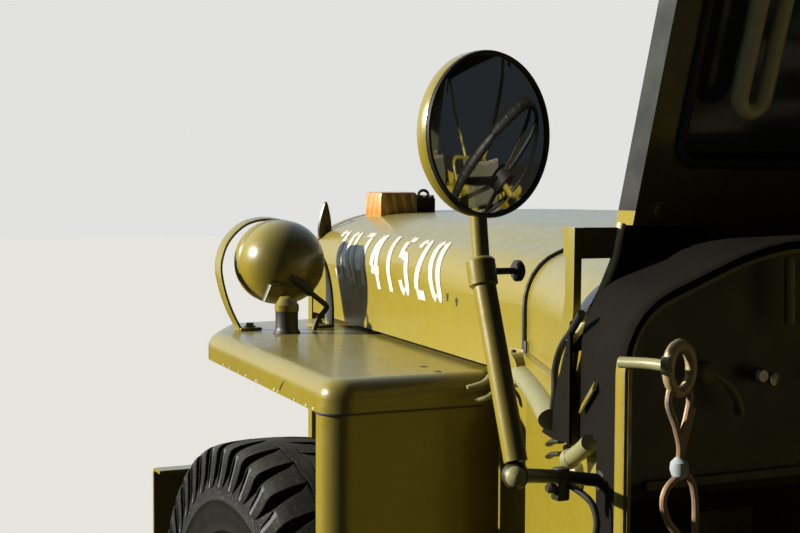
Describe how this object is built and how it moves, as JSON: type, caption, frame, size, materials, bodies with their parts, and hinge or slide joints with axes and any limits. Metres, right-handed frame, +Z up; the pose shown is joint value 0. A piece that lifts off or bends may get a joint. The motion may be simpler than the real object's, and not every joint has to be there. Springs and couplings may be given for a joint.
{
  "type": "army 4x4 car",
  "caption": "Small open-sided army 4x4 car with flat front fenders, folding-type windshield, canvas top on bows, spare wheel and steerable front wheels.",
  "frame": {"origin": "on the ground, under the middle of the bounding box", "axes": "+X forward, +Y to the left, +Z up"},
  "size_m": [3.3148, 1.7242, 1.7678],
  "materials": {
    "olive_paint": "gloss olive paint, chipped at the edges",
    "chassis_paint": "dull olive paint with dust",
    "engine_paint": "dull grey green",
    "rubber": "worn black rubber",
    "glass": "dark glass",
    "canvas": "woven canvas",
    "cushion": "canvas cushions",
    "mirror": "round mirrors on painted arms",
    "wood": "varnished wood",
    "steel": "worn steel"
  },
  "bodies": {
    "chassis": {"frame": "chassis_paint", "front_bumper": "olive_paint", "rear_bumperettes": "chassis_paint", "front_axle": "chassis_paint", "rear_axle": "chassis_paint", "springs": "chassis_paint", "power_unit": "engine_paint", "exhaust": "chassis_paint", "radiator": "engine_paint", "grille": "olive_paint", "fender_left": "olive_paint", "fender_right": "olive_paint", "cowl": "olive_paint", "dash_panel": "olive_paint", "tub_floor": "olive_paint", "tub_side_left": "olive_paint", "tub_side_right": "olive_paint", "tub_rear_panel": "olive_paint", "windshield_frame": "olive_paint", "windshield_glass": "glass", "lamps": "olive_paint", "blackout_lamp": "olive_paint", "seat_frames": "olive_paint", "seat_cushions": "cushion", "column_and_levers": "olive_paint", "mirrors": "mirror", "jerrycan": "olive_paint", "canvas_top": "canvas", "top_bows": "olive_paint", "spare_tyre": "rubber", "spare_wheel": "olive_paint"},
    "hood": {"hood": "olive_paint", "hood_blocks": "wood"},
    "steering_wheel": {"steering_wheel": "olive_paint"},
    "knuckle_left": {"knuckle_left": "chassis_paint"},
    "knuckle_right": {"knuckle_right": "chassis_paint"},
    "tie_rod": {"tie_rod": "steel"},
    "wheel_front_left": {"tyre_front_left": "rubber", "wheel_front_left": "olive_paint"},
    "wheel_front_right": {"tyre_front_right": "rubber", "wheel_front_right": "olive_paint"},
    "wheel_rear_left": {"tyre_rear_left": "rubber", "wheel_rear_left": "olive_paint"},
    "wheel_rear_right": {"tyre_rear_right": "rubber", "wheel_rear_right": "olive_paint"}
  },
  "joints": [
    {"name": "front_left_roll", "type": "hinge", "parent": "knuckle_left", "child": "wheel_front_left", "pos_m": [1.1305, 0.622, 0.358], "axis": [0, 1, 0], "continuous": true},
    {"name": "front_right_roll", "type": "hinge", "parent": "knuckle_right", "child": "wheel_front_right", "pos_m": [1.1305, -0.622, 0.358], "axis": [0, 1, 0], "continuous": true},
    {"name": "rear_left_roll", "type": "hinge", "parent": "chassis", "child": "wheel_rear_left", "pos_m": [-0.9015, 0.622, 0.358], "axis": [0, 1, 0], "continuous": true},
    {"name": "rear_right_roll", "type": "hinge", "parent": "chassis", "child": "wheel_rear_right", "pos_m": [-0.9015, -0.622, 0.358], "axis": [0, 1, 0], "continuous": true},
    {"name": "steer_left", "type": "hinge", "parent": "chassis", "child": "knuckle_left", "pos_m": [1.1305, 0.53, 0.358], "axis": [0, 0, 1], "range_deg": [-26, 26]},
    {"name": "steer_right", "type": "hinge", "parent": "chassis", "child": "knuckle_right", "pos_m": [1.1305, -0.53, 0.358], "axis": [0, 0, 1], "range_deg": [-26, 26]},
    {"name": "tie_rod_turn", "type": "hinge", "parent": "knuckle_left", "child": "tie_rod", "pos_m": [1.2955, 0.53, 0.29], "axis": [0, 0, 1], "range_deg": [-26, 26]},
    {"name": "steering_wheel_turn", "type": "hinge", "parent": "chassis", "child": "steering_wheel", "pos_m": [-0.0445, 0.295, 1.0269], "axis": [-0.7986, 0, 0.6018], "range_deg": [-364, 364]},
    {"name": "hood_hinge", "type": "hinge", "parent": "chassis", "child": "hood", "pos_m": [0.65725, 0, 1.049], "axis": [0, 1, 0], "range_deg": [-112, 0]}
  ],
  "couplings": [
    {"joint": "steer_right", "follows": "steer_left", "ratio": 1},
    {"joint": "tie_rod_turn", "follows": "steer_left", "ratio": -1},
    {"joint": "steering_wheel_turn", "follows": "steer_left", "ratio": 14}
  ]
}
